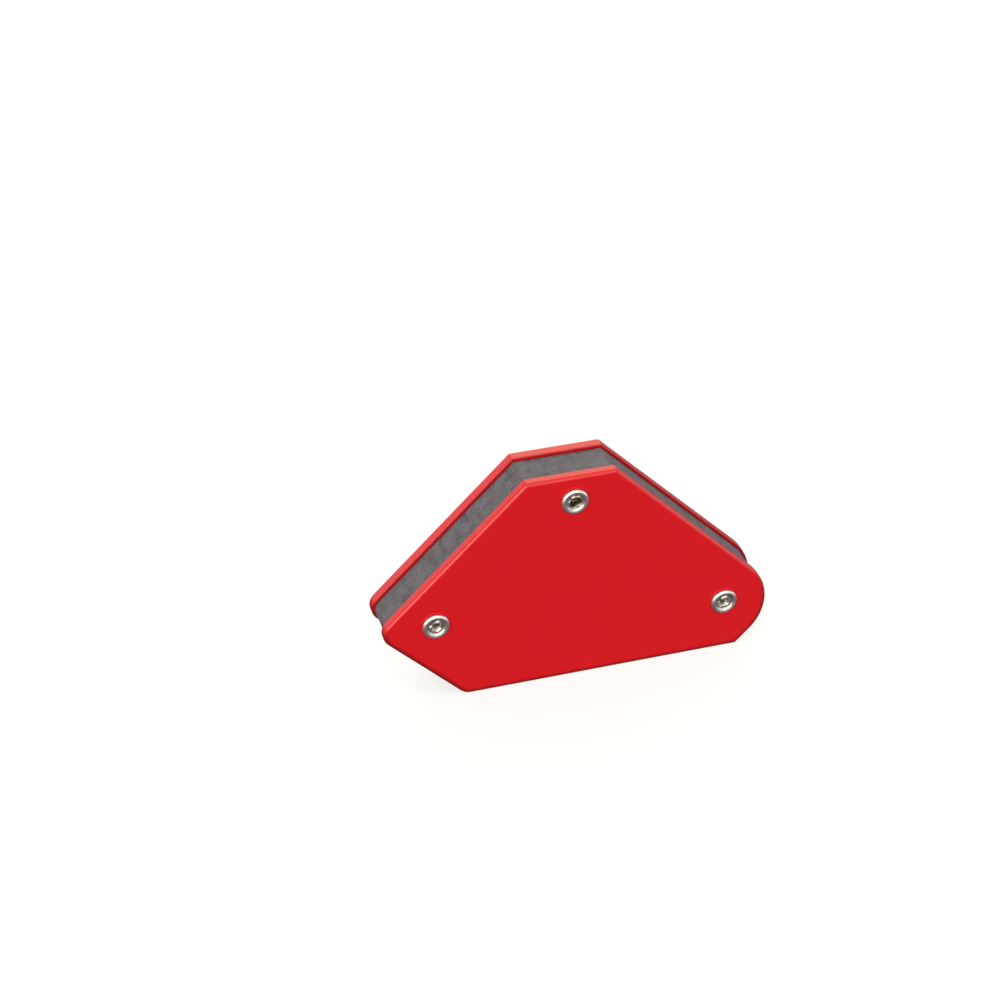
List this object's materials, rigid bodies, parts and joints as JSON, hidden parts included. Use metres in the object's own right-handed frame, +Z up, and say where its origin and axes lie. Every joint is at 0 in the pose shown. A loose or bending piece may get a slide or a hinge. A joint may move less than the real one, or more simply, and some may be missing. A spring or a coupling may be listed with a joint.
{
  "type": "welding magnet holder",
  "caption": "Small magnetic holder for setting steel at 45, 90 and 135 degrees while it is welded: painted steel plates riveted over a recessed magnet core.",
  "frame": {"origin": "under the middle of the object, on the surface that its base edge stands on", "axes": "+Z up from the base edge; +X along the base edge towards the round end; +Y through the plates, away from the rivets' rolled ends"},
  "size_m": [0.082, 0.0136, 0.049],
  "materials": {
    "paint": "gloss red paint",
    "core": "matt moulded grey",
    "ferrite": "sintered, dark grey",
    "rivet": "bright plated steel"
  },
  "bodies": {
    "root": {"front_plate": "paint", "back_plate": "paint", "core_frame": "core", "magnet_left": "ferrite", "magnet_right": "ferrite", "rivet_top": "rivet", "rivet_left": "rivet", "rivet_right": "rivet"}
  },
  "joints": []
}
